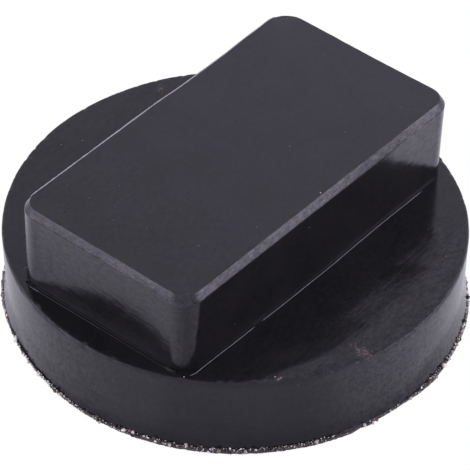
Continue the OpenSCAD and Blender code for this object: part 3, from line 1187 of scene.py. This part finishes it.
class JACKPAD_OT_flash(bpy.types.Operator):
    """Sweeps the flash round the foot and trims it to its ragged outline"""
    bl_idname = "jack_pad.flash"
    bl_label = "Trimmed flash"

    def execute(self, context):
        s = context.scene.jack_pad_flash
        section = loop_mesh("flash_section", [(out * MM, -up * MM, 0) for out, up in SECTION])
        tree = flash_tree(flash_material(s))
        add_piece(grown("trimmed_flash", section, tree, {
            "Wall Radius": s.wall_radius, "Steps": s.steps, "Reach": s.reach, "Cut Depth": s.cuts,
            "Cut Length": s.cut_length, "Tear": s.tear, "Seed": s.seed}))
        return {"FINISHED"}


class JACKPAD_OT_crumbs(bpy.types.Operator):
    """Strews crumbs over the torn edge of the flash, which is built first"""
    bl_idname = "jack_pad.crumbs"
    bl_label = "Flash crumbs"

    def execute(self, context):
        s = context.scene.jack_pad_crumbs
        flash = bpy.data.objects["trimmed_flash"].data.copy()
        tree = crumb_tree(crumb_material(s))
        add_piece(grown("flash_lumps", flash, tree, {
            "Density": s.lump_density, "Size": s.lump_size, "Smallest": 0.4, "Seed": s.seed}))
        add_piece(grown("flash_grit", flash, tree, {
            "Density": s.grit_density, "Size": s.grit_size, "Smallest": 0.45, "Lightness": 0.12,
            "Seed": s.seed + 10}))
        return {"FINISHED"}


class JACKPAD_OT_dust(bpy.types.Operator):
    """Strews fine dust over the body, which is built first"""
    bl_idname = "jack_pad.dust"
    bl_label = "Dust"

    def execute(self, context):
        s = context.scene.jack_pad_crumbs
        body = bpy.data.objects["moulded_body"].data.copy()
        up = np.array([v.normal[2] for v in body.vertices])
        high = np.array([v.co[2] for v in body.vertices]) > 0.5 * MM
        set_attribute(body, "crumbs", np.where(up > 0.5, 1.0, 0.35) * high)
        add_piece(grown("dust", body, crumb_tree(dust_material(s)), {
            "Density": s.dust_density, "Size": s.dust_size, "Smallest": 0.4, "Seed": s.seed + 20}))
        places = bpy.data.meshes.new("speck_places")
        places.from_pydata(strayed(np.array(SPECKS) * MM, context.scene.jack_pad_body).tolist(), [], [])
        add_piece(grown("specks", places, crumb_tree(crumb_material(s)), {
            "At Points": True, "Size": s.dust_size * 2, "Smallest": 0.6, "Seed": s.seed + 30}))
        return {"FINISHED"}


class JACKPAD_OT_lines(bpy.types.Operator):
    """Lays the bead along the mould joint, the burr along the boss's top edge and the flash's ridge"""
    bl_idname = "jack_pad.lines"
    bl_label = "Joint bead and burr"

    def execute(self, context):
        s, body = context.scene.jack_pad_lines, context.scene.jack_pad_body
        tree = line_tree(line_material(s))
        joint = path_mesh("joint_path", joint_stretches(s, body))
        add_piece(grown("joint_bead", joint, tree, {
            "Thickness": s.joint_thickness, "Wander": s.wander, "Unevenness": 0.5, "Seed": 1}))
        burr = path_mesh("burr_path", burr_stretches(body))
        add_piece(grown("edge_burr", burr, tree, {
            "Thickness": s.burr_thickness, "Wander": s.wander, "Unevenness": 0.8, "Seed": 2}))
        ridge = path_mesh("ridge_path", ridge_stretches(context.scene.jack_pad_flash))
        add_piece(grown("flash_ridge", ridge, tree, {
            "Thickness": s.ridge_thickness, "Wander": s.wander, "Unevenness": 0.6, "Seed": 3}))
        return {"FINISHED"}


def ground_axes(s):
    """Directions along the floor: to the camera's right, and away from it."""
    right = Vector((math.cos(s.azimuth), math.sin(s.azimuth), 0))
    return right, Vector((-right.y, right.x, 0))


def make_camera(s):
    right, back = ground_axes(s)
    towards = Vector((
        math.sin(s.azimuth) * math.cos(s.elevation),
        -math.cos(s.azimuth) * math.cos(s.elevation),
        math.sin(s.elevation)))
    up = towards.cross(right)
    rolled_right = right * math.cos(s.roll) + up * math.sin(s.roll)
    rolled_up = up * math.cos(s.roll) - right * math.sin(s.roll)
    data = bpy.data.cameras.new("Camera")
    data.lens = s.lens
    data.sensor_width = 36
    data.clip_start = 0.01
    camera = bpy.data.objects.new("Camera", data)
    bpy.context.scene.collection.objects.link(camera)
    turn = Matrix((rolled_right, rolled_up, towards)).transposed().to_4x4()
    aim = right * s.aim_side + back * s.aim_back
    camera.matrix_world = Matrix.Translation(aim + towards * s.distance) @ turn
    bpy.context.scene.camera = camera


def make_lamp(name, place, s):
    """A wide soft lamp turned towards the pad."""
    data = bpy.data.lights.new(name, "AREA")
    data.shape = "RECTANGLE"
    data.size, data.size_y = 0.42, 0.24
    data.energy = s.side_lamps
    data.color = s.light[:3]
    lamp = bpy.data.objects.new(name, data)
    lamp.location = place
    middle = Vector((0, 0, 0.02))
    lamp.rotation_euler = (middle - place).to_track_quat("-Z", "Y").to_euler()
    bpy.context.scene.collection.objects.link(lamp)


def make_world(s):
    """Surroundings that are white to the camera and dimmer to the pad."""
    world = bpy.data.worlds.new("Surroundings")
    world.use_nodes = True
    tree = world.node_tree
    tree.nodes.clear()
    path = add_node(tree, "ShaderNodeLightPath").outputs
    seen = calc(tree, "MAXIMUM", path["Is Camera Ray"], path["Is Transmission Ray"])
    level = calc(tree, "MULTIPLY_ADD", seen, 1 - s.world, s.world)
    tone = mixed(tree, seen, tuple(s.light), WHITE)
    background = add_node(tree, "ShaderNodeBackground", {"Color": tone, "Strength": level})
    add_node(tree, "ShaderNodeOutputWorld", {"Surface": background.outputs[0]})
    bpy.context.scene.world = world


def make_floor(s):
    """A wide floor just under the pad, so that its faces don't meet those of the flat underside."""
    half, low = 3.0, -0.02 * MM
    mesh = bpy.data.meshes.new("floor")
    mesh.from_pydata(
        [(-half, -half, low), (half, -half, low), (half, half, low), (-half, half, low)], [], [(0, 1, 2, 3)])
    mesh.materials.append(floor_material(s))
    in_scene(mesh)


class JACKPAD_OT_stage(bpy.types.Operator):
    """Sets the pale floor, the soft lamps, the surroundings and the camera"""
    bl_idname = "jack_pad.stage"
    bl_label = "Stage"

    def execute(self, context):
        s = context.scene.jack_pad_stage
        make_floor(s)
        right, back = ground_axes(s)
        for name, side in (("Left lamp", -1), ("Right lamp", 1)):
            make_lamp(name, right * side * 0.42 - back * 0.06 + Vector((0, 0, 0.16)), s)
        make_world(s)
        make_camera(s)
        context.scene.view_settings.view_transform = "Standard"
        return {"FINISHED"}


class JACKPAD_PT_panel(bpy.types.Panel):
    """Lists the pieces and their settings"""
    bl_idname = "JACKPAD_PT_panel"
    bl_label = "Jack pad"
    bl_space_type = "VIEW_3D"
    bl_region_type = "UI"
    bl_category = "Jack pad"

    def draw(self, context):
        for name, _, operators in GROUPS:
            settings = getattr(context.scene, name)
            box = self.layout.box()
            for setting in settings.__annotations__:
                box.prop(settings, setting)
            for operator in operators:
                box.operator(operator.bl_idname)


# Name of each group of settings in the scene, its class, and the operators that use it
GROUPS = (
    ("jack_pad_body", JackPadBodySettings, (JACKPAD_OT_body,)),
    ("jack_pad_flash", JackPadFlashSettings, (JACKPAD_OT_flash,)),
    ("jack_pad_crumbs", JackPadCrumbSettings, (JACKPAD_OT_crumbs, JACKPAD_OT_dust)),
    ("jack_pad_lines", JackPadLineSettings, (JACKPAD_OT_lines,)),
    ("jack_pad_stage", JackPadStageSettings, (JACKPAD_OT_stage,)))


def register():
    for name, settings, operators in GROUPS:
        bpy.utils.register_class(settings)
        setattr(bpy.types.Scene, name, bpy.props.PointerProperty(type=settings))
        for operator in operators:
            bpy.utils.register_class(operator)
    bpy.utils.register_class(JACKPAD_PT_panel)


def unregister():
    bpy.utils.unregister_class(JACKPAD_PT_panel)
    for name, settings, operators in reversed(GROUPS):
        for operator in operators:
            bpy.utils.unregister_class(operator)
        delattr(bpy.types.Scene, name)
        bpy.utils.unregister_class(settings)


def main():
    register()
    bpy.ops.jack_pad.body()
    bpy.ops.jack_pad.flash()
    bpy.ops.jack_pad.crumbs()
    bpy.ops.jack_pad.dust()
    bpy.ops.jack_pad.lines()
    bpy.ops.jack_pad.stage()


if __name__ == "__main__":
    main()
